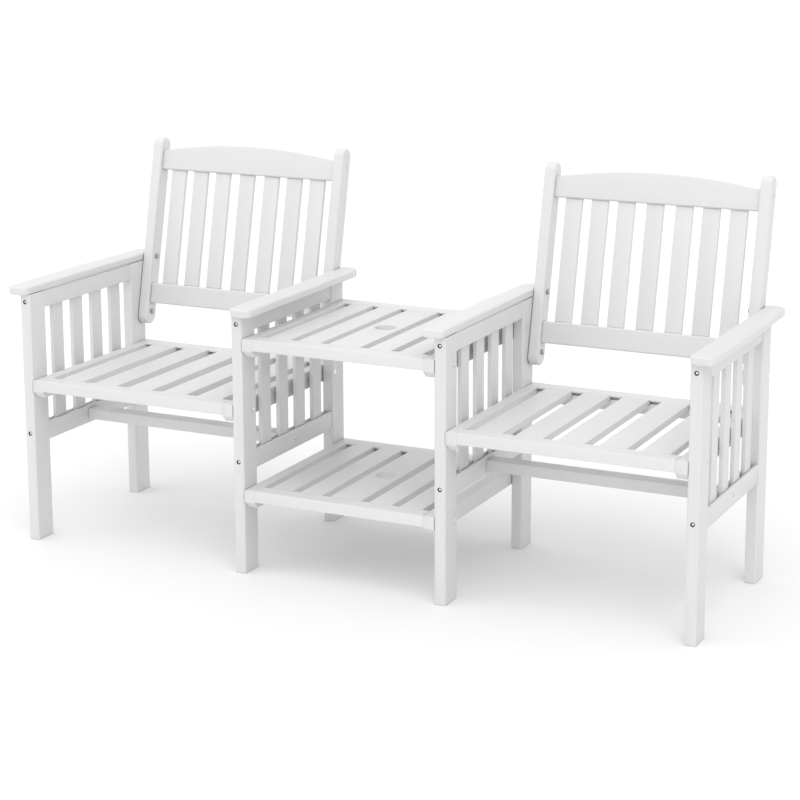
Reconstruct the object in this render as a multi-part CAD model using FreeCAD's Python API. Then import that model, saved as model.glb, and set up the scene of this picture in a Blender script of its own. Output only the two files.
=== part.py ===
import FreeCAD, Part

import math
import os

from FreeCAD import Vector

# A companion seat: two slatted chairs with a two-tier table between them, which takes a parasol pole.
# Millimetres. X runs from the left chair to the right one, Y to the rear, Z up from the floor.
# The origin is on the floor, in the middle of the overall width and depth.

# Layout between the four side frames
chair_width = 508.0
table_width = 443.0
frame_depth = 457.0

# Legs
leg_thick = 25.0
leg_deep = 57.0
leg_height = 560.0

# Rails of a side frame, both let into its legs
frame_rail_thick = 21.0
upper_rail_tall = 38.0
lower_rail_tall = 41.0
lower_rail_base = 220.5
upper_rail_screw_rise = 21.0
lower_rail_screw_rise = 25.0

# Upright slats of a side frame
side_slat_count = 4
side_slat_wide = 38.0
side_slat_thick = 9.0

# Armrests. Each is broad in front, tapers over a length and ends in a narrower tail.
arm_thick = 18.0
arm_overhang = 25.0
arm_rear_overhang = 19.0
arm_front_overhang = 14.0
arm_rear_reach = 46.0
arm_tail = 53.0
arm_taper = 160.0
arm_front_radius = 15.0
arm_rear_radius = 20.0

# Seats and table shelves
seat_top = 368.0
upper_shelf_drop = 47.0
lower_shelf_top = 185.5
side_rail_wide = 25.0
side_rail_tall = 39.0
side_rail_corner = 13.0
cross_rail_wide = 38.0
front_rail_tall = 24.0
rear_rail_tall = 33.0
flat_slat_thick = 14.0
seat_slat_count = 5
seat_slat_wide = 59.0
seat_end_gap = 22.9
shelf_side_slat_count = 2
shelf_slat_wide = 51.0
umbrella_slat_wide = 73.0
umbrella_hole_radius = 23.5

# Stretchers under the seats
stretcher_wide = 38.0
stretcher_tall = 24.0
stretcher_base = 230.0

# Backrests, drawn upright about the middle of the stile's round foot and then tilted.
# The stile length runs between the middles of its two round ends.
back_rake = 12.42
back_foot_inset = 14.0
back_foot_rise = 63.0
stile_thick = 25.0
stile_deep = 39.0
stile_length = 405.0
back_rail_thick = 20.0
bottom_rail_base = 30.0
bottom_rail_tall = 48.0
top_rail_base = 348.5
top_rail_tall = 45.5
top_rail_rise = 20.5
back_slat_wide = 38.0
back_slat_thick = 9.0
back_side_slat_count = 3
back_end_gap = 25.0
back_middle_extra = 5.0

# Eased edges, broad on legs, armrests and backrests and fine on the rails between them
edge_chamfer = 2.5
rail_chamfer = 1.0

# Joinery. The tenon lengths are how far a board is let into its neighbour.
slat_tenon = 10.0
slat_shoulder = 4.0
rail_tenon = 12.0
rail_shoulder = 4.0
mortise_gap = 0.2

# Screws, bolts and nuts, measured across their flats
screw_sides = 4
screw_wide = 5.0
bolt_sides = 6
bolt_wide = 6.0
head_sides = 6
head_wide = 8.0
head_tall = 3.5
recess_gap = 0.4
recess_depth = 4.0
shank_gap = 0.3
thread_gap = 0.05
leg_screw_length = 80.0
rail_screw_length = 38.0
side_rail_screw_inset = 42.0
side_rail_screw_drop = 16.0
top_rail_screw_rise = 34.0
foot_bolt_rise = 10.0
bolt_tip = 1.5
nut_wide = 10.0
nut_tall = 5.0

# Sine below which two directions count as the same
parallel_sine = 0.01

WIDE, DEEP, TALL = range(3)
RIGHT = Vector(1, 0, 0)
LEFT = Vector(-1, 0, 0)
FORWARD = Vector(0, -1, 0)
REARWARD = Vector(0, 1, 0)
UP = Vector(0, 0, 1)
AXES = (RIGHT, REARWARD, UP)

# Shoulders about a rail's tenon, a flat slat's tongue and the end of an upright slat
rail_shoulders = (rail_shoulder, rail_shoulder, rail_shoulder)
tongue_shoulders = (0, 0, slat_shoulder)
no_shoulders = (0, 0, 0)

# Gaps of a mortise about its tenon, of a slot whose bottom an upright slat stands on,
# and of the grooves in a side frame and in a seat or shelf
all_round = (mortise_gap, mortise_gap, mortise_gap)
slot_gaps = (mortise_gap, mortise_gap, 0)
frame_groove_gaps = (mortise_gap, 0, 0)
panel_groove_gaps = (0, mortise_gap, mortise_gap)

# Heights and places that follow from the sizes above
upper_shelf_top = leg_height - upper_shelf_drop
arm_rear_end = frame_depth + arm_rear_reach
arm_taper_end = arm_rear_end - arm_tail
arm_taper_start = arm_taper_end - arm_taper
back_foot_y = frame_depth - back_foot_inset
back_foot_z = seat_top + back_foot_rise
arm_bolt_level = leg_height + arm_thick / 2
arm_bolt_rise = (arm_bolt_level - back_foot_z) / math.cos(math.radians(back_rake))

# Left faces of the side frames, from left to right, and which side of each its chair is on
inner_frame_x = table_width / 2 + leg_thick
end_frame_x = inner_frame_x + chair_width + leg_thick
FRAMES = (
    ("left_end", -end_frame_x, 1),
    ("left_inner", -inner_frame_x, -1),
    ("right_inner", inner_frame_x - leg_thick, 1),
    ("right_end", end_frame_x - leg_thick, -1),
)

pieces = {}


def add(node, solid):
    """Put a solid into a node."""
    pieces.setdefault(node, []).append(solid)


def cut_from(node, cutter):
    """Take a cutter out of every solid of a node."""
    pieces[node] = [solid.cut(cutter).Solids[0] for solid in pieces[node]]


def block(spans):
    """Box that fills three spans, each from low to high."""
    low = Vector(*(span[0] for span in spans))
    size = [span[1] - span[0] for span in spans]
    return Part.makeBox(size[0], size[1], size[2], low)


def grown(spans, gaps):
    """The same three spans, each with its own gap added at both ends."""
    return [(low - gap, high + gap) for (low, high), gap in zip(spans, gaps)]


def runs_along(edge, direction):
    """Whether a straight edge runs along a direction."""
    if not isinstance(edge.Curve, Part.Line):
        return False
    return edge.Curve.Direction.cross(direction).Length < parallel_sine


def board(spans, axis, chamfer):
    """Board along an axis with its four long edges eased."""
    solid = block(spans)
    edges = [edge for edge in solid.Edges if runs_along(edge, AXES[axis])]
    return solid.makeChamfer(chamfer, edges)


def tenon_spans(spans, axis, end, shoulders, length):
    """Space of the stub tenon on the low (0) or high (1) end of a board."""
    space = [(low + inset, high - inset) for (low, high), inset in zip(spans, shoulders)]
    low, high = spans[axis]
    space[axis] = (low - length, low) if end == 0 else (high, high + length)
    return space


def with_tenons(solid, spans, axis, shoulders, length):
    """A board with its two stub tenons."""
    for end in range(2):
        solid = solid.fuse(block(tenon_spans(spans, axis, end, shoulders, length)))
    return solid.removeSplitter()


def cut_sockets(receivers, spans, axis, shoulders, length, gaps):
    """Cut what the two ends of a board, or of a whole row of boards, are let into."""
    for end, receiver in enumerate(receivers):
        space = tenon_spans(spans, axis, end, shoulders, length)
        cut_from(receiver, block(grown(space, gaps)))


def add_rail(node, rail, spans, axis, receivers):
    """Add a rail with its tenons and cut the mortises that they seat in."""
    add(node, with_tenons(rail, spans, axis, rail_shoulders, rail_tenon))
    cut_sockets(receivers, spans, axis, rail_shoulders, rail_tenon, all_round)


def add_upright_slat(node, spans):
    """Add an upright slat whose whole ends are let into the rails below and above it."""
    low, high = spans[TALL]
    add(node, block([spans[WIDE], spans[DEEP], (low - slat_tenon, high + slat_tenon)]))


def centred(middle, size):
    """Span of a size about a middle."""
    return (middle - size / 2, middle + size / 2)


def spread(count, pitch):
    """Places of a row of things about zero."""
    return [(number - (count - 1) / 2) * pitch for number in range(count)]


def rounded_face(corners):
    """Flat face with corners (x, y, radius), each rounded by an arc or square where it has none."""
    points = [Vector(x, y, 0) for x, y, radius in corners]
    stops = []
    for number, (x, y, radius) in enumerate(corners):
        corner = points[number]
        before = (points[number - 1] - corner).normalize()
        after = (points[(number + 1) % len(points)] - corner).normalize()
        half = math.acos(before.dot(after)) / 2
        tangent = radius / math.tan(half)
        middle = corner + (before + after).normalize() * (radius / math.sin(half) - radius)
        stops.append((radius, corner + before * tangent, middle, corner + after * tangent))
    edges = []
    for number, (radius, start, middle, end) in enumerate(stops):
        if radius > 0:
            edges.append(Part.Arc(start, middle, end).toShape())
        following = stops[(number + 1) % len(stops)][1]
        edges.append(Part.LineSegment(end, following).toShape())
    return Part.Face(Part.Wire(edges))


def rod(sides, wide, length, point, direction):
    """Rod with flat sides from a point along a level direction, so wide across its flats."""
    across = direction.cross(UP)
    reach = wide / 2 / math.cos(math.pi / sides)
    ring = []
    for number in range(sides):
        angle = 2 * math.pi * number / sides
        ring.append(point + across * (reach * math.cos(angle)) + UP * (reach * math.sin(angle)))
    return Part.Face(Part.makePolygon(ring + ring[:1])).extrude(direction * length)


def fasten(node, first, second, point, direction, shank, length):
    """Drive a screw or bolt through one node into the next, its head sunk in a recess.

    The shank gives its number of sides and its width.
    """
    sides, wide = shank
    seat = point + direction * recess_depth
    outward = direction * -1
    body = rod(sides, wide, length, seat, direction)
    head = rod(head_sides, head_wide, head_tall, seat, outward)
    add(node, body.fuse(head).removeSplitter().Solids[0])
    cut_from(first, rod(head_sides, head_wide + 2 * recess_gap, 2 * recess_depth, seat, outward))
    cut_from(first, rod(sides, wide + 2 * shank_gap, length, seat, direction))
    cut_from(second, rod(sides, wide + 2 * thread_gap, length, seat, direction))


def drive_screw(node, first, second, point, direction, length):
    """Drive a wood screw through the first node into the second."""
    fasten(node, first, second, point, direction, (screw_sides, screw_wide), length)


def add_leg(node, face_x, front_y):
    """Add a leg with a stub tenon on top, which the armrest sits on."""
    spans = [(face_x, face_x + leg_thick), (front_y, front_y + leg_deep), (0, leg_height)]
    leg = board(spans, TALL, edge_chamfer)
    tenon = tenon_spans(spans, TALL, 1, rail_shoulders, slat_tenon)
    add(node, leg.fuse(block(tenon)).removeSplitter())
    return tenon


def add_armrest(node, face_x, chair_side, tenons):
    """Add an armrest, flush with the leg on the chair side and broader on the other."""
    inner_x = face_x + (leg_thick if chair_side > 0 else 0)
    front = -arm_front_overhang
    outer = leg_thick + arm_overhang
    narrow = leg_thick + arm_rear_overhang
    outline = (
        (0, front, arm_front_radius),
        (outer, front, arm_front_radius),
        (outer, arm_taper_start, 0),
        (narrow, arm_taper_end, 0),
        (narrow, arm_rear_end, arm_rear_radius),
        (0, arm_rear_end, 0),
    )
    face = rounded_face([(inner_x - chair_side * out, y, radius) for out, y, radius in outline])
    arm = face.extrude(UP * arm_thick)
    arm.translate(UP * leg_height)
    rims = [edge for edge in arm.Edges if not runs_along(edge, UP)]
    add(node, arm.makeChamfer(edge_chamfer, rims))
    for tenon in tenons:
        cut_from(node, block(grown(tenon, all_round)))


def add_side_frame(name, face_x, chair_side):
    """Add the legs, rails, upright slats and armrest of one side frame."""
    front_leg = name + "_front_leg"
    rear_leg = name + "_rear_leg"
    upper_rail = name + "_upper_rail"
    lower_rail = name + "_lower_rail"
    rear_y = frame_depth - leg_deep
    tenons = (add_leg(front_leg, face_x, 0), add_leg(rear_leg, face_x, rear_y))
    middle_x = face_x + leg_thick / 2
    across = centred(middle_x, frame_rail_thick)
    along = (leg_deep, rear_y)
    upper = (leg_height - upper_rail_tall, leg_height)
    lower = (lower_rail_base, lower_rail_base + lower_rail_tall)
    rails = (
        (upper_rail, upper, upper_rail_screw_rise),
        (lower_rail, lower, lower_rail_screw_rise),
    )
    for rail, height, screw_rise in rails:
        spans = [across, along, height]
        solid = board(spans, DEEP, rail_chamfer)
        add_rail(rail, solid, spans, DEEP, (front_leg, rear_leg))
        level = height[0] + screw_rise
        front = Vector(middle_x, 0, level)
        rear = Vector(middle_x, frame_depth, level)
        drive_screw("leg_screws", front_leg, rail, front, REARWARD, leg_screw_length)
        drive_screw("leg_screws", rear_leg, rail, rear, FORWARD, leg_screw_length)
    row = [centred(middle_x, side_slat_thick), along, (lower[1], upper[0])]
    cut_sockets((lower_rail, upper_rail), row, TALL, no_shoulders, slat_tenon, frame_groove_gaps)
    room = along[1] - along[0]
    pitch = side_slat_wide + (room - side_slat_count * side_slat_wide) / (side_slat_count + 1)
    for place in spread(side_slat_count, pitch):
        span = centred(frame_depth / 2 + place, side_slat_wide)
        add_upright_slat(name + "_side_slats", [row[WIDE], span, row[TALL]])
    add_armrest(name + "_armrest", face_x, chair_side, tenons)


def add_side_rail(node, low_x, top):
    """Add a side rail of a seat or shelf, its lower corner in front cut off."""
    base = top - side_rail_tall
    rail = board([(low_x, low_x + side_rail_wide), (0, frame_depth), (base, top)], DEEP, rail_chamfer)
    corner = [
        Vector(low_x, -side_rail_corner, base),
        Vector(low_x, 0, base + side_rail_corner),
        Vector(low_x, side_rail_corner, base),
        Vector(low_x, 0, base - side_rail_corner),
    ]
    wedge = Part.Face(Part.makePolygon(corner + corner[:1])).extrude(RIGHT * side_rail_wide)
    add(node, rail.cut(wedge).Solids[0])


def add_panel(name, left_x, right_x, top, frames):
    """Add the four rails of a seat or shelf between two frames, and screw it to their legs."""
    left_rail = name + "_left_rail"
    right_rail = name + "_right_rail"
    add_side_rail(left_rail, left_x, top)
    add_side_rail(right_rail, right_x - side_rail_wide, top)
    across = (left_x + side_rail_wide, right_x - side_rail_wide)
    front_rail = name + "_front_rail"
    rear_rail = name + "_rear_rail"
    rails = (
        (front_rail, (0, cross_rail_wide), front_rail_tall),
        (rear_rail, (frame_depth - cross_rail_wide, frame_depth), rear_rail_tall),
    )
    for rail, along, tall in rails:
        spans = [across, along, (top - tall, top)]
        solid = board(spans, WIDE, rail_chamfer)
        add_rail(rail, solid, spans, WIDE, (left_rail, right_rail))
    row = flat_slat_spans(across, top)
    receivers = (front_rail, rear_rail)
    cut_sockets(receivers, row, DEEP, tongue_shoulders, slat_tenon, panel_groove_gaps)
    level = top - side_rail_screw_drop
    ends = (
        (frames[0], left_rail, left_x - leg_thick, RIGHT),
        (frames[1], right_rail, right_x + leg_thick, LEFT),
    )
    front = side_rail_screw_inset
    for frame, rail, head_x, inward in ends:
        for leg, y in (("_front_leg", front), ("_rear_leg", frame_depth - front)):
            point = Vector(head_x, y, level)
            drive_screw("rail_screws", frame + leg, rail, point, inward, rail_screw_length)


def flat_slat_spans(across, top):
    """Spans of a slat of a seat or shelf between its front and rear rails, flush with them."""
    return [across, (cross_rail_wide, frame_depth - cross_rail_wide), (top - flat_slat_thick, top)]


def add_flat_slat(node, middle_x, wide, top):
    """Add one slat of a seat or shelf with a tongue at each end for the grooves of the rails."""
    spans = flat_slat_spans(centred(middle_x, wide), top)
    add(node, with_tenons(block(spans), spans, DEEP, tongue_shoulders, slat_tenon))


def add_seat(name, left_x, frames):
    """Add a seat between the frames of one chair, and the stretcher below it."""
    right_x = left_x + chair_width
    middle_x = left_x + chair_width / 2
    add_panel(name, left_x, right_x, seat_top, frames)
    room = chair_width - 2 * (side_rail_wide + seat_end_gap)
    pitch = (room - seat_slat_wide) / (seat_slat_count - 1)
    for place in spread(seat_slat_count, pitch):
        add_flat_slat(name + "_slats", middle_x + place, seat_slat_wide, seat_top)
    recess = (leg_thick - frame_rail_thick) / 2
    across = (left_x - recess, right_x + recess)
    y = frame_depth / 2
    level = stretcher_base + stretcher_tall / 2
    spans = [across, centred(y, stretcher_wide), centred(level, stretcher_tall)]
    add("seat_stretchers", board(spans, WIDE, rail_chamfer))
    ends = (
        (frames[0] + "_lower_rail", across[0] - frame_rail_thick, RIGHT),
        (frames[1] + "_lower_rail", across[1] + frame_rail_thick, LEFT),
    )
    for rail, head_x, inward in ends:
        point = Vector(head_x, y, level)
        drive_screw("rail_screws", rail, "seat_stretchers", point, inward, rail_screw_length)


def add_shelf(name, top):
    """Add a table shelf, its broad middle slat bored for a parasol pole."""
    half = table_width / 2
    add_panel(name, -half, half, top, ("left_inner", "right_inner"))
    room = half - side_rail_wide - umbrella_slat_wide / 2
    gap = (room - shelf_side_slat_count * shelf_slat_wide) / (shelf_side_slat_count + 1)
    for side in (-1, 1):
        for number in range(shelf_side_slat_count):
            inner = umbrella_slat_wide / 2 + gap + number * (shelf_slat_wide + gap)
            middle = side * (inner + shelf_slat_wide / 2)
            add_flat_slat(name + "_slats", middle, shelf_slat_wide, top)
    add_flat_slat("umbrella_slats", 0, umbrella_slat_wide, top)
    start = Vector(0, frame_depth / 2, top - flat_slat_thick)
    cut_from("umbrella_slats", Part.makeCylinder(umbrella_hole_radius, flat_slat_thick, start))


def stile(low_x):
    """Upright of a backrest with half-round ends."""
    radius = stile_deep / 2
    front = Vector(low_x, -radius, 0)
    front_top = Vector(low_x, -radius, stile_length)
    rear_top = Vector(low_x, radius, stile_length)
    rear = Vector(low_x, radius, 0)
    crown = Vector(low_x, 0, stile_length + radius)
    foot = Vector(low_x, 0, -radius)
    outline = [
        Part.LineSegment(front, front_top).toShape(),
        Part.Arc(front_top, crown, rear_top).toShape(),
        Part.LineSegment(rear_top, rear).toShape(),
        Part.Arc(rear, foot, front).toShape(),
    ]
    solid = Part.Face(Part.Wire(outline)).extrude(RIGHT * stile_thick)
    rims = [edge for edge in solid.Edges if not runs_along(edge, RIGHT)]
    return solid.makeChamfer(edge_chamfer, rims)


def arched_rail(spans):
    """Top rail of a backrest, whose upper edge is one shallow arc, with its long edges eased."""
    (x0, x1), (y0, y1), (z0, z1) = spans
    peak = Vector((x0 + x1) / 2, y0, z1 + top_rail_rise)
    corners = [Vector(x0, y0, z1), Vector(x0, y0, z0), Vector(x1, y0, z0), Vector(x1, y0, z1)]
    outline = [Part.Arc(corners[3], peak, corners[0]).toShape()]
    for start, end in zip(corners, corners[1:]):
        outline.append(Part.LineSegment(start, end).toShape())
    solid = Part.Face(Part.Wire(outline)).extrude(REARWARD * (y1 - y0))
    ends = [edge for edge in solid.Edges if runs_along(edge, UP) or runs_along(edge, REARWARD)]
    long_edges = [edge for edge in solid.Edges if not any(edge.isSame(end) for end in ends)]
    return solid.makeChamfer(edge_chamfer, long_edges)


def tilted(vector):
    """Place on the tilted backrest of a point drawn on the upright one."""
    turn = FreeCAD.Rotation(RIGHT, -back_rake)
    return turn.multVec(vector) + Vector(0, back_foot_y, back_foot_z)


def back_slat_places():
    """Places of a backrest's slats about its middle, the gaps beside the middle slat wider."""
    room = chair_width / 2 - stile_thick - back_end_gap - back_slat_wide / 2
    pitch = (room - back_middle_extra) / back_side_slat_count
    places = [0.0]
    for number in range(back_side_slat_count):
        place = back_middle_extra + (number + 1) * pitch
        places += [-place, place]
    return sorted(places)


def add_backrest(name, left_x, frames):
    """Add a backrest with stiles, rails and slats, and bolt it to its two frames."""
    left_stile = name + "_left_stile"
    right_stile = name + "_right_stile"
    top_rail = name + "_top_rail"
    bottom_rail = name + "_bottom_rail"
    slats = name + "_slats"
    outer_x = (left_x, left_x + chair_width)
    inner_x = (outer_x[0] + stile_thick, outer_x[1] - stile_thick)
    add(left_stile, stile(outer_x[0]))
    add(right_stile, stile(inner_x[1]))
    through = centred(0, back_rail_thick)
    stiles = (left_stile, right_stile)
    top_spans = [inner_x, through, (top_rail_base, top_rail_base + top_rail_tall)]
    bottom_spans = [inner_x, through, (bottom_rail_base, bottom_rail_base + bottom_rail_tall)]
    add_rail(top_rail, arched_rail(top_spans), top_spans, WIDE, stiles)
    add_rail(bottom_rail, board(bottom_spans, WIDE, edge_chamfer), bottom_spans, WIDE, stiles)
    middle_x = left_x + chair_width / 2
    for place in back_slat_places():
        spans = [
            centred(middle_x + place, back_slat_wide),
            centred(0, back_slat_thick),
            (bottom_spans[TALL][1], top_rail_base),
        ]
        receivers = (bottom_rail, top_rail)
        cut_sockets(receivers, spans, TALL, no_shoulders, slat_tenon, slot_gaps)
        add_upright_slat(slats, spans)
    for node in (left_stile, right_stile, top_rail, bottom_rail, slats):
        for solid in pieces[node]:
            solid.rotate(Vector(0, 0, 0), RIGHT, -back_rake)
            solid.translate(Vector(0, back_foot_y, back_foot_z))
    bottom_level = sum(bottom_spans[TALL]) / 2
    levels = ((top_rail, top_rail_base + top_rail_screw_rise), (bottom_rail, bottom_level))
    sides = (
        (frames[0], left_stile, outer_x[0], RIGHT),
        (frames[1], right_stile, outer_x[1], LEFT),
    )
    for frame, stile_node, face_x, inward in sides:
        for rail, level in levels:
            point = tilted(Vector(face_x, 0, level))
            drive_screw("rail_screws", stile_node, rail, point, inward, rail_screw_length)
        bolt_stile(frame + "_rear_leg", stile_node, face_x, inward, foot_bolt_rise, leg_thick)
        arm_wide = leg_thick + arm_rear_overhang
        bolt_stile(frame + "_armrest", stile_node, face_x, inward, arm_bolt_rise, arm_wide)


def bolt_stile(outside, stile_node, face_x, inward, rise, wide):
    """Bolt a stile through the piece outside it, so wide, with a nut on the stile's inner face."""
    point = tilted(Vector(face_x, 0, rise)) - inward * wide
    grip = wide - recess_depth + stile_thick
    length = grip + nut_tall + bolt_tip
    fasten("back_bolts", outside, stile_node, point, inward, (bolt_sides, bolt_wide), length)
    face = point + inward * (wide + stile_thick)
    bore = rod(bolt_sides, bolt_wide + 2 * thread_gap, nut_tall, face, inward)
    add("back_nuts", rod(bolt_sides, nut_wide, nut_tall, face, inward).cut(bore).Solids[0])


def export_parts():
    """Move the bench to its origin and write one file for each node."""
    rear = back_foot_y + stile_length * math.sin(math.radians(back_rake)) + stile_deep / 2
    middle_y = (rear - arm_front_overhang) / 2
    for node, solids in pieces.items():
        shape = solids[0] if len(solids) == 1 else Part.makeCompound(solids)
        shape.translate(Vector(0, -middle_y, 0))
        shape.exportStep("parts/" + node + ".step")


os.makedirs("parts", exist_ok=True)
for frame_name, frame_x, frame_chair_side in FRAMES:
    add_side_frame(frame_name, frame_x, frame_chair_side)
left_chair_x = leg_thick - end_frame_x
chairs = (
    ("left", left_chair_x, ("left_end", "left_inner")),
    ("right", inner_frame_x, ("right_inner", "right_end")),
)
for chair, chair_x, chair_frames in chairs:
    add_seat(chair + "_seat", chair_x, chair_frames)
    add_backrest(chair + "_back", chair_x, chair_frames)
add_shelf("upper_shelf", upper_shelf_top)
add_shelf("lower_shelf", lower_shelf_top)
export_parts()
print(len(pieces), "nodes,", sum(len(solids) for solids in pieces.values()), "solids")
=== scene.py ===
import math

import bmesh
import bpy
from mathutils import Matrix, Vector


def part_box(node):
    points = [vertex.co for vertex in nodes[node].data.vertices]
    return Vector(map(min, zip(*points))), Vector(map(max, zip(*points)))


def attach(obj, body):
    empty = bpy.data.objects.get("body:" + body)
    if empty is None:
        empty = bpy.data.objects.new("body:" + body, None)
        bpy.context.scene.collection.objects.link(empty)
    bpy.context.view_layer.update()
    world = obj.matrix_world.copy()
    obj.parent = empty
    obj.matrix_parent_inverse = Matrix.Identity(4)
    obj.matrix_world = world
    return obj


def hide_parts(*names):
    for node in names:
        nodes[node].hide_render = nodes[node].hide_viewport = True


# A white painted companion seat on a pale studio floor.
# Lengths are in metres. The origin is on the floor, under the middle of the bench.

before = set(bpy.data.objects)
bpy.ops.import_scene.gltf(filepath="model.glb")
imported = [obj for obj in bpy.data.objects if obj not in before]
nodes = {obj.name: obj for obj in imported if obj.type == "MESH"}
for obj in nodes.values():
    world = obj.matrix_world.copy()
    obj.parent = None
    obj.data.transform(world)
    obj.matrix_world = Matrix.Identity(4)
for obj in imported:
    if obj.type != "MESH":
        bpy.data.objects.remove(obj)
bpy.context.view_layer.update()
mm = 0.001
quarter = math.pi / 2
sixth = math.pi / 3

# Camera: its place, turn, downward tilt, lens and picture shift
camera_place = (1.9425, -3.9326, 1.4769)
camera_yaw = 0.4409
camera_pitch = 0.2068
camera_lens = 93.98
camera_shift = (-0.0378, -0.12)

# Lean of the backrests
back_rake = math.radians(12.42)

# Colours
paint_colour = (0.685, 0.685, 0.685)
bright_zinc_colour = (0.86, 0.86, 0.87)
dull_zinc_colour = (0.40, 0.40, 0.41)
# Near black for painted shade on the screw recesses' walls and painted shadow round the domed heads
recess_shade_colour = (0.03, 0.03, 0.032)
floor_colour = (0.86, 0.86, 0.86)
sky_colour = (1, 1, 1, 1)

# Noises: scale, detail and, for the grain, the stretch along it
fine_grain = (620.0, 3.0, (0.022, 1, 1))
broad_grain = (95.0, 4.0, (0.05, 1, 1))
brushed_skin = (420.0, 2.0)
paint_clouds = (7.0, 3.0)
steel_patches = (900.0, 3.0)
steel_grit = (5200.0, 2.0)
floor_clouds = (3.0, 4.0)
noise_middle = 0.5

# Paint: the shift of the noise from board to board, and what each effect adds to the tone
board_shift = 37.0
grain_tone = 0.045
cloud_tone = 0.03
board_tone = 0.035
edge_tone = 0.05
end_tone = -0.015

# Paint: how quickly a rounding counts as an edge, and how squarely end grain faces its board's length
edge_gain = 4.0
end_facing = 0.9

# Paint: gloss and relief
paint_specular = 0.42
paint_roughness = 0.34
skin_roughness = 0.16
end_roughness = 0.1
fine_relief = 0.35
broad_relief = 0.9
skin_relief = 0.25
paint_bump_strength = 0.35
paint_bump_depth = 0.00022

# Painted shade in the joints and crevices, from the occlusion by nearby surfaces: how far it reaches, how
# much it darkens the paint, and its samples
crevice_shade_reach = 0.003
crevice_shade_depth = 0.5
crevice_shade_samples = 6

# Steel: tone, lowest and highest roughness, and relief
steel_least_tone = 0.75
steel_tone_range = 0.5
bright_zinc_roughness = (0.18, 0.34)
dull_zinc_roughness = (0.3, 0.5)
recess_shade_roughness = (0.6, 0.8)
steel_bump_strength = 0.25
steel_bump_depth = 0.00004

# Floor and sky
floor_half = 40.0
floor_least_tone = 0.995
floor_tone_range = 0.01
floor_roughness = 0.9
floor_specular = 0.1
sky_strength = 1.0

# Rounding of the wooden edges
weld_gap = 1e-6
flat_angle = math.radians(0.6)
round_angle = math.radians(24)
round_segments = 3

# Ends of the wooden nodes' names, how their grain runs, and the rounding of their edges in millimetres
finishes = (
    ("back_left_stile", "leaning", 1.6),
    ("back_right_stile", "leaning", 1.6),
    ("back_slats", "leaning", 1.1),
    ("back_top_rail", "leaning_across", 1.2),
    ("back_bottom_rail", "leaning_across", 1.2),
    ("_leg", "upright", 1.2),
    ("side_slats", "upright", 0.7),
    ("upper_rail", "along", 0.4),
    ("lower_rail", "along", 0.4),
    ("_armrest", "along", 1.6),
    ("_left_rail", "along", 0.65),
    ("_right_rail", "along", 0.65),
    ("front_rail", "across", 0.65),
    ("rear_rail", "across", 0.65),
    ("_slats", "along", 0.6),
    ("seat_stretchers", "across", 0.4),
)
steel_nodes = ("leg_screws", "rail_screws", "back_bolts", "back_nuts")

# Reading the CAD fasteners: how level the points of one end lie, and the decimals of a solid's centre
level_gap = 1e-5
centre_digits = 5

# Turned forms
turned_sides = 24
sharp_angle = math.radians(35)
six_sided = True
circular = False

# Screws: depth of their recesses, how far below the wood's face the CAD heads lie, and how far below it
# the leg or armrest that holds a screw is looked for
recess_depth = 0.004
head_sunk = 0.0005
probe_depth = 0.001
head_bottom = 0.0003 - recess_depth

# Screw shanks: radii, top, and the lengths from the tip to the end and the start of the taper
shank_radius = 0.0024
tail_radius = 0.0020
tip_radius = 0.0008
shank_top = 0.0001 - recess_depth
tail_length = 0.003
taper_length = 0.006

# Screw heads from the socket outwards: radius, height over the wood's face, and six-sided or circular
deep_head = [
    (0.0008, -0.0026, six_sided), (0.0009, -0.0013, six_sided), (0.0018, -0.0012, circular),
    (0.0025, -0.0015, circular), (0.0029, -0.0022, circular), (0.0029, head_bottom, circular),
]
flush_head = [
    (0.0010, -0.0016, six_sided), (0.0011, -0.0001, six_sided), (0.0028, -0.0001, circular),
    (0.0036, -0.0004, circular), (0.0038, -0.0009, circular), (0.0038, head_bottom, circular),
]
domed_head = [
    (0.0015, -0.0006, six_sided), (0.0016, 0.0012, six_sided), (0.0030, 0.0011, circular),
    (0.0044, 0.0008, circular), (0.0054, 0.0003, circular), (0.0057, 0.00003, circular),
    (0.0042, 0.00003, circular),
]
dome_neck = [(0.0042, head_bottom, circular)]
leg_dome_growth = 1.1

# Rings round the heads: radius and height over the wood's face. The cup rings and the shadow rings are near
# black, a painted shade of a recess's wall and a painted shadow line round a domed head; the lips are white
# paint.
recess_shade_section = [
    (0.0043, 0.00003), (0.0049, 0.00003), (0.0049, -0.0002), (0.0045, -0.0002),
    (0.0044, -0.0038), (0.0031, -0.0038), (0.0031, -0.0036), (0.0041, -0.0034),
]
lip_section = [(0.0048, 0.00006), (0.0054, 0.00008), (0.0054, -0.0002), (0.0048, -0.0002)]
narrow_lip_section = [(0.0043, 0.00004), (0.0053, 0.00006), (0.0053, -0.0002), (0.0043, -0.0002)]
shadow_section = [(0.0056, 0.00004), (0.0060, 0.00004), (0.0060, -0.0001), (0.0056, -0.0001)]

# Nuts: half the width across flats, how high the corners are eased, and how wide the round end faces are
nut_radius = 0.005
nut_ease = 0.0006
nut_face_share = 0.98

# End of the bolt inside a nut
bolt_radius = 0.0031
bolt_end_radius = 0.0028
bolt_end_sunk = 0.0004


def link(tree, start, end):
    """Join two sockets."""
    tree.links.new(start, end)


def new_node(tree, kind, **values):
    """Add a shader node and set its properties."""
    node = tree.nodes.new(kind)
    for name, value in values.items():
        setattr(node, name, value)
    return node


def maths(tree, operation, first, second=None, third=None, clamp=False):
    """Add a Math node fed by sockets or numbers, and give its result."""
    node = new_node(tree, "ShaderNodeMath", operation=operation, use_clamp=clamp)
    for socket, value in zip(node.inputs, (first, second, third)):
        if value is None:
            continue
        if isinstance(value, (int, float)):
            socket.default_value = value
        else:
            link(tree, value, socket)
    return node.outputs[0]


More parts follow.
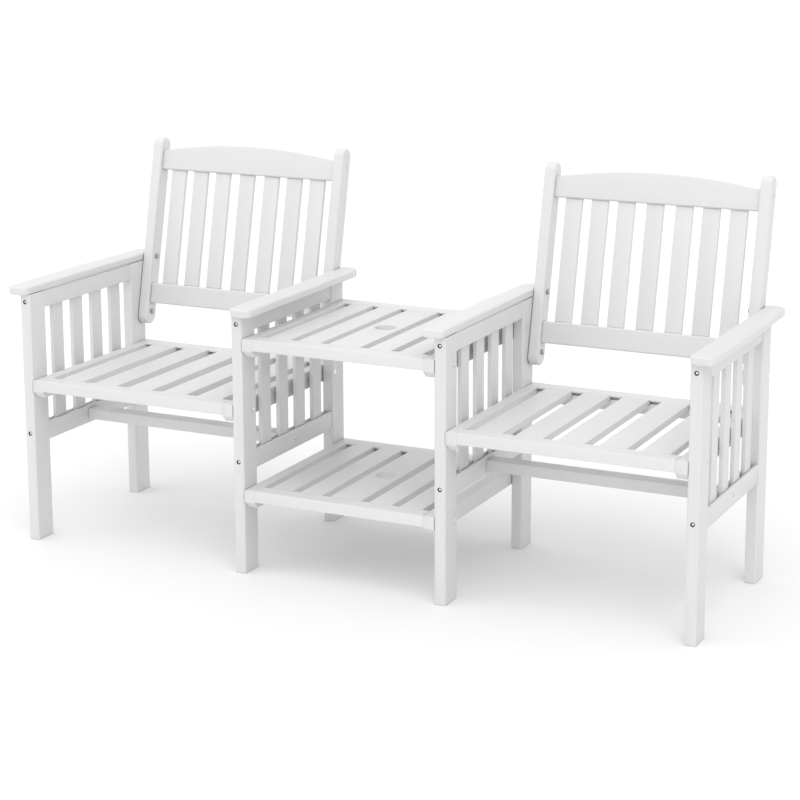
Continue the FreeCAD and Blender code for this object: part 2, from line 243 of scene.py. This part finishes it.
def noise(tree, vector, scale, detail, stretch=(1, 1, 1)):
    """Add noise over a vector that is stretched by the given factors, and give its value."""
    mapping = new_node(tree, "ShaderNodeMapping")
    mapping.inputs["Scale"].default_value = stretch
    link(tree, vector, mapping.inputs["Vector"])
    texture = new_node(tree, "ShaderNodeTexNoise")
    texture.inputs["Scale"].default_value = scale
    texture.inputs["Detail"].default_value = detail
    link(tree, mapping.outputs["Vector"], texture.inputs["Vector"])
    return texture.outputs["Fac"]


def shader_of(material):
    """Node tree of a new material, and the shader in it."""
    material.use_nodes = True
    tree = material.node_tree
    return tree, tree.nodes["Principled BSDF"]


def add_colour(tree, shader, colour, tone):
    """Colour a shader with one colour times a varying tone."""
    shade = new_node(tree, "ShaderNodeVectorMath", operation="SCALE")
    shade.inputs[0].default_value = colour
    link(tree, tone, shade.inputs["Scale"])
    link(tree, shade.outputs["Vector"], shader.inputs["Base Color"])


def add_relief(tree, shader, height, strength, depth):
    """Give a shader's surface a fine relief."""
    bump = new_node(tree, "ShaderNodeBump")
    bump.inputs["Strength"].default_value = strength
    bump.inputs["Distance"].default_value = depth
    link(tree, height, bump.inputs["Height"])
    link(tree, bump.outputs["Normal"], shader.inputs["Normal"])


def along_grain(tree, vector, turn, kind):
    """Turn a point or a normal so that its X runs along the grain."""
    mapping = new_node(tree, "ShaderNodeMapping", vector_type=kind)
    mapping.inputs["Rotation"].default_value = turn
    link(tree, vector, mapping.inputs["Vector"])
    return mapping.outputs["Vector"]


def board_place(tree, place, island):
    """Shift a place for each board, so that no two boards have the same grain."""
    apart = new_node(tree, "ShaderNodeVectorMath", operation="ADD")
    link(tree, place, apart.inputs[0])
    link(tree, maths(tree, "MULTIPLY", island, board_shift), apart.inputs[1])
    return apart.outputs["Vector"]


def edge_and_end(tree, facing):
    """How much a spot lies on a rounded edge, and whether it lies on end grain, both from 0 to 1."""
    sides = new_node(tree, "ShaderNodeSeparateXYZ")
    link(tree, facing, sides.inputs[0])
    lengths = [maths(tree, "ABSOLUTE", sides.outputs[axis]) for axis in range(3)]
    most = maths(tree, "MAXIMUM", maths(tree, "MAXIMUM", lengths[0], lengths[1]), lengths[2])
    edge = maths(tree, "MULTIPLY", maths(tree, "SUBTRACT", 1.0, most), edge_gain, clamp=True)
    end = maths(tree, "GREATER_THAN", lengths[0], end_facing)
    return edge, end


def swing(tree, value):
    """Shift a value from 0 to 1 so that it swings about zero."""
    return maths(tree, "SUBTRACT", value, noise_middle)


def painted_crevice_shade(tree):
    """Factor on the tone that paints shade where another surface is close by, from ambient occlusion."""
    crevice = new_node(tree, "ShaderNodeAmbientOcclusion", samples=crevice_shade_samples)
    crevice.inputs["Distance"].default_value = crevice_shade_reach
    return maths(tree, "MULTIPLY_ADD", crevice.outputs["AO"], crevice_shade_depth, 1.0 - crevice_shade_depth)


def paint_material(name, turn):
    """White satin paint on planed wood whose grain runs along the turned X axis, with painted shade in its
    crevices.
    """
    material = bpy.data.materials.new(name)
    tree, shader = shader_of(material)
    place = new_node(tree, "ShaderNodeTexCoord")
    island = new_node(tree, "ShaderNodeNewGeometry").outputs["Random Per Island"]
    board = board_place(tree, along_grain(tree, place.outputs["Object"], turn, "POINT"), island)
    edge, end = edge_and_end(tree, along_grain(tree, place.outputs["Normal"], turn, "NORMAL"))
    fine = noise(tree, board, *fine_grain)
    broad = noise(tree, board, *broad_grain)
    skin = noise(tree, board, *brushed_skin)
    clouds = noise(tree, board, *paint_clouds)

    tone = maths(tree, "MULTIPLY", swing(tree, broad), grain_tone)
    tone = maths(tree, "MULTIPLY_ADD", swing(tree, clouds), cloud_tone, tone)
    tone = maths(tree, "MULTIPLY_ADD", swing(tree, island), board_tone, tone)
    tone = maths(tree, "MULTIPLY_ADD", edge, maths(tree, "MULTIPLY", skin, edge_tone), tone)
    tone = maths(tree, "MULTIPLY_ADD", end, end_tone, tone)
    tone = maths(tree, "ADD", tone, 1.0)
    # The tone is darkened by painted shade where surfaces lie close together.
    add_colour(tree, shader, paint_colour, maths(tree, "MULTIPLY", tone, painted_crevice_shade(tree)))

    rough = maths(tree, "MULTIPLY_ADD", skin, skin_roughness, paint_roughness)
    rough = maths(tree, "MULTIPLY_ADD", end, end_roughness, rough)
    link(tree, rough, shader.inputs["Roughness"])
    shader.inputs["Specular IOR Level"].default_value = paint_specular

    height = maths(tree, "MULTIPLY", fine, fine_relief)
    height = maths(tree, "MULTIPLY_ADD", broad, broad_relief, height)
    height = maths(tree, "MULTIPLY_ADD", skin, skin_relief, height)
    add_relief(tree, shader, height, paint_bump_strength, paint_bump_depth)
    return material


def steel_material(name, colour, metallic, rough_low, rough_high):
    """Steel, or the painted shade on the wall round a sunk head, with dull patches and fine grit."""
    material = bpy.data.materials.new(name)
    tree, shader = shader_of(material)
    place = new_node(tree, "ShaderNodeTexCoord").outputs["Object"]
    patches = noise(tree, place, *steel_patches)
    grit = noise(tree, place, *steel_grit)
    tone = maths(tree, "MULTIPLY_ADD", patches, steel_tone_range, steel_least_tone)
    add_colour(tree, shader, colour, tone)
    rough = maths(tree, "MULTIPLY_ADD", patches, rough_high - rough_low, rough_low)
    link(tree, rough, shader.inputs["Roughness"])
    shader.inputs["Metallic"].default_value = metallic
    add_relief(tree, shader, grit, steel_bump_strength, steel_bump_depth)
    return material


def floor_material():
    """Plain pale studio floor."""
    material = bpy.data.materials.new("studio_floor")
    tree, shader = shader_of(material)
    place = new_node(tree, "ShaderNodeTexCoord").outputs["Object"]
    clouds = noise(tree, place, *floor_clouds)
    tone = maths(tree, "MULTIPLY_ADD", clouds, floor_tone_range, floor_least_tone)
    add_colour(tree, shader, floor_colour, tone)
    shader.inputs["Roughness"].default_value = floor_roughness
    shader.inputs["Specular IOR Level"].default_value = floor_specular
    return material


def smooth_faces_group():
    """Geometry group that shades every face smoothly."""
    group = bpy.data.node_groups.new("smooth_faces", "GeometryNodeTree")
    group.interface.new_socket("Geometry", in_out="INPUT", socket_type="NodeSocketGeometry")
    group.interface.new_socket("Geometry", in_out="OUTPUT", socket_type="NodeSocketGeometry")
    start = group.nodes.new("NodeGroupInput")
    shade = group.nodes.new("GeometryNodeSetShadeSmooth")
    end = group.nodes.new("NodeGroupOutput")
    group.links.new(start.outputs[0], shade.inputs["Geometry"])
    group.links.new(shade.outputs["Geometry"], end.inputs[0])
    return group


def round_edges(piece, width):
    """Join a CAD node's facets into whole faces and round its edges."""
    piece.modifiers.new("smooth", "NODES").node_group = smooth_faces
    weld = piece.modifiers.new("weld", "WELD")
    weld.merge_threshold = weld_gap
    flat = piece.modifiers.new("flat", "DECIMATE")
    flat.decimate_type = "DISSOLVE"
    flat.angle_limit = flat_angle
    bevel = piece.modifiers.new("round", "BEVEL")
    bevel.width = width
    bevel.segments = round_segments
    bevel.limit_method = "ANGLE"
    bevel.angle_limit = round_angle
    bevel.harden_normals = True


def dress(piece, material):
    """Give every slot of a piece the same material."""
    if not piece.material_slots:
        piece.data.materials.append(material)
    for slot in piece.material_slots:
        slot.link = "OBJECT"
        slot.material = material


def finish_of(name):
    """How the grain of a wooden node runs, and the rounding of its edges in millimetres."""
    for ending, grain, width in finishes:
        if name.endswith(ending):
            return grain, width
    raise ValueError("no finish for " + name)


def centre_of(points):
    """Mean of some points, rounded, for a steady order of the solids."""
    return tuple(round(sum(p[axis] for p in points) / len(points), centre_digits) for axis in range(3))


def solids_of(node):
    """Points of each separate solid of a CAD node."""
    mesh = bmesh.new()
    mesh.from_mesh(nodes[node].data)
    bmesh.ops.remove_doubles(mesh, verts=mesh.verts, dist=weld_gap)
    seen = set()
    found = []
    for first in mesh.verts:
        if first in seen:
            continue
        seen.add(first)
        stack = [first]
        group = []
        while stack:
            vert = stack.pop()
            group.append(vert.co.copy())
            for edge in vert.link_edges:
                other = edge.other_vert(vert)
                if other not in seen:
                    seen.add(other)
                    stack.append(other)
        found.append(group)
    mesh.free()
    found.sort(key=centre_of)
    return found


def middle_of(points):
    """Middle of the box round some points."""
    return [(min(p[axis] for p in points) + max(p[axis] for p in points)) / 2 for axis in range(3)]


def rod_frame(points):
    """Middle of a screw's head face, the way out of the wood, and the screw's whole length."""
    sizes = [max(p[axis] for p in points) - min(p[axis] for p in points) for axis in range(3)]
    axis = sizes.index(max(sizes[:2]))
    middle = Vector(middle_of(points))
    low = min(p[axis] for p in points)
    high = max(p[axis] for p in points)

    def girth(level):
        """Largest squared distance from the screw's axis at one of its ends."""
        ring = [p for p in points if abs(p[axis] - level) < level_gap]
        return max((p - middle).length_squared - (p[axis] - middle[axis]) ** 2 for p in ring)

    outward = Vector((0, 0, 0))
    outward[axis] = 1.0 if girth(high) > girth(low) else -1.0
    face = middle.copy()
    face[axis] = high if outward[axis] > 0 else low
    return face, outward, high - low


def rings_of(mesh, profile, place, outward):
    """Add the points of a profile turned about the outward axis, as one list for each ring."""
    side = outward.orthogonal().normalized()
    up = outward.cross(side)
    rings = []
    for radius, height, flats in profile:
        ring = []
        for number in range(turned_sides):
            angle = 2 * math.pi * number / turned_sides
            reach = radius / math.cos(angle % sixth - sixth / 2) if flats else radius
            offset = side * (reach * math.cos(angle)) + up * (reach * math.sin(angle))
            ring.append(mesh.verts.new(place + offset + outward * height))
        rings.append(ring)
    return rings


def join_rings(mesh, lower, upper):
    """Add the faces between two rings."""
    for number in range(turned_sides):
        following = (number + 1) % turned_sides
        mesh.faces.new((lower[number], lower[following], upper[following], upper[number]))


def turned(mesh, profile, place, outward):
    """Add a solid turned from a profile of (radius, height, six-sided or circular)."""
    rings = rings_of(mesh, profile, place, outward)
    for lower, upper in zip(rings, rings[1:]):
        join_rings(mesh, lower, upper)
    mesh.faces.new(rings[-1])
    mesh.faces.new(list(reversed(rings[0])))


def turned_ring(mesh, section, place, outward):
    """Add a ring turned from a closed section of (radius, height)."""
    profile = [(radius, height, circular) for radius, height in section]
    rings = rings_of(mesh, profile, place, outward)
    for lower, upper in zip(rings, rings[1:] + rings[:1]):
        join_rings(mesh, lower, upper)


def grown(profile, growth):
    """Multiply the radii of a profile or section."""
    return [(radius * growth, *rest) for radius, *rest in profile]


def finished_piece(name, mesh, material):
    """Make a piece of the bench from a built mesh."""
    bmesh.ops.recalc_face_normals(mesh, faces=mesh.faces)
    data = bpy.data.meshes.new(name)
    mesh.to_mesh(data)
    mesh.free()
    for polygon in data.polygons:
        polygon.use_smooth = True
    data.set_sharp_from_angle(angle=sharp_angle)
    piece = bpy.data.objects.new(name, data)
    bpy.context.scene.collection.objects.link(piece)
    data.materials.append(material)
    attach(piece, "root")
    return piece


def carrier_of(surface, outward):
    """The leg or armrest whose face a head sits on, or nothing."""
    probe = surface - outward * probe_depth
    for name in nodes:
        if name.endswith(("_leg", "_armrest")):
            low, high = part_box(name)
            if all(low[axis] < probe[axis] < high[axis] for axis in range(3)):
                return name
    return ""


def shank(length):
    """Profile of a screw's shank, down to its tip."""
    tip = -length - head_sunk
    return [
        (shank_radius, shank_top, circular), (shank_radius, tip + taper_length, circular),
        (tail_radius, tip + tail_length, circular), (tip_radius, tip, circular),
    ]


def screw_set(name, node, on_legs, shade_rings, lips):
    """Replace a node's screws by turned ones with deep, flush or domed heads, and add their rings of painted
    shade and of paint.
    """
    screws = bmesh.new()
    for points in solids_of(node):
        face, outward, length = rod_frame(points)
        surface = face + outward * head_sunk
        carrier = carrier_of(surface, outward)
        if on_legs:
            turned(screws, deep_head + shank(length), surface, outward)
            turned_ring(shade_rings, recess_shade_section, surface, outward)
            turned_ring(lips, lip_section, surface, outward)
        elif not carrier:
            turned(screws, flush_head + shank(length), surface, outward)
            turned_ring(lips, narrow_lip_section, surface, outward)
        else:
            growth = leg_dome_growth if carrier.endswith("_leg") else 1.0
            turned(screws, grown(domed_head, growth) + dome_neck + shank(length), surface, outward)
            turned_ring(shade_rings, grown(shadow_section, growth), surface, outward)
    made = finished_piece(name, screws, bright_zinc)
    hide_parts(node)


def nut_set(name, node, material):
    """Replace the hexagon nuts by ones with eased corners and a bolt's end inside."""
    nuts = bmesh.new()
    for points in solids_of(node):
        middle = Vector(middle_of(points))
        low, high = min(p.x for p in points), max(p.x for p in points)
        chair_low, chair_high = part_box("left_seat_front_rail" if middle.x < 0 else "right_seat_front_rail")
        inward = 1.0 if middle.x < (chair_low[0] + chair_high[0]) / 2 else -1.0
        seat = middle.copy()
        seat.x = low if inward > 0 else high
        tall = high - low
        profile = [
            (nut_radius * nut_face_share, 0.0, circular), (nut_radius, nut_ease, six_sided),
            (nut_radius, tall - nut_ease, six_sided), (nut_radius * nut_face_share, tall, circular),
            (bolt_radius, tall, circular), (bolt_end_radius, tall - bolt_end_sunk, circular),
        ]
        turned(nuts, profile, seat, Vector((inward, 0, 0)))
    made = finished_piece(name, nuts, material)
    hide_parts(node)


def add_floor():
    """Lay the studio floor under the bench."""
    mesh = bpy.data.meshes.new("studio_floor")
    corners = [(x * floor_half, y * floor_half, 0) for x, y in ((-1, -1), (1, -1), (1, 1), (-1, 1))]
    mesh.from_pydata(corners, [], [(0, 1, 2, 3)])
    mesh.materials.append(floor_material())
    floor = bpy.data.objects.new("studio_floor", mesh)
    bpy.context.scene.collection.objects.link(floor)


def add_sky():
    """Light the studio evenly from all round."""
    world = bpy.data.worlds.new("studio")
    world.use_nodes = True
    background = world.node_tree.nodes["Background"]
    background.inputs["Color"].default_value = sky_colour
    background.inputs["Strength"].default_value = sky_strength
    bpy.context.scene.world = world


def add_sun(name, strength, spread, elevation, azimuth):
    """Lamp that shines down from an azimuth in degrees, 0 being straight in front of the bench."""
    lamp = bpy.data.lights.new(name, "SUN")
    lamp.energy = strength
    lamp.angle = math.radians(spread)
    sun = bpy.data.objects.new(name, lamp)
    sun.rotation_euler = (quarter - math.radians(elevation), 0, math.radians(azimuth))
    bpy.context.scene.collection.objects.link(sun)


def add_camera():
    """Look at the bench from where the photograph was taken."""
    data = bpy.data.cameras.new("camera")
    data.lens = camera_lens
    data.shift_x, data.shift_y = camera_shift
    camera = bpy.data.objects.new("camera", data)
    camera.location = camera_place
    camera.rotation_euler = (quarter - camera_pitch, 0, camera_yaw)
    bpy.context.scene.collection.objects.link(camera)
    bpy.context.scene.camera = camera
    bpy.context.scene.view_settings.view_transform = "Standard"


# Wood: one paint for each way that the grain runs, and the turn that brings the grain to the X axis
smooth_faces = smooth_faces_group()
grain_turns = {
    "across": (0, 0, 0),
    "along": (0, 0, -quarter),
    "upright": (0, quarter, 0),
    "leaning_across": (back_rake, 0, 0),
    "leaning": (Matrix.Rotation(quarter, 3, "Y") @ Matrix.Rotation(back_rake, 3, "X")).to_euler(),
}
paints = {grain: paint_material("paint_" + grain, turn) for grain, turn in grain_turns.items()}
for name, piece in sorted(nodes.items()):
    if name not in steel_nodes:
        grain, width = finish_of(name)
        round_edges(piece, width * mm)
        dress(piece, paints[grain])

# Fasteners
bright_zinc = steel_material("bright_zinc", bright_zinc_colour, 1.0, *bright_zinc_roughness)
dull_zinc = steel_material("dull_zinc", dull_zinc_colour, 1.0, *dull_zinc_roughness)
# Painted shade for the recess walls and the shadow rings round the heads
painted_recess_shade = steel_material("painted_recess_shade", recess_shade_colour, 0.0, *recess_shade_roughness)
for name in steel_nodes:
    dress(nodes[name], bright_zinc)
shade_rings = bmesh.new()
lips = bmesh.new()
screw_set("leg_screw_set", "leg_screws", True, shade_rings, lips)
screw_set("rail_screw_set", "rail_screws", False, shade_rings, lips)
screw_set("back_bolt_set", "back_bolts", False, shade_rings, lips)
# Rings of painted shade and painted shadow round the heads, then rings of paint round them
finished_piece("painted_screw_shade_rings", shade_rings, painted_recess_shade)
finished_piece("screw_lips", lips, paints["upright"])
nut_set("back_nut_set", "back_nuts", dull_zinc)

# Studio: a pale floor, an even sky and two very soft lamps
add_floor()
add_sky()
add_sun("key", strength=0.80, spread=50, elevation=56, azimuth=25)
add_sun("fill", strength=0.30, spread=70, elevation=35, azimuth=-60)
add_camera()
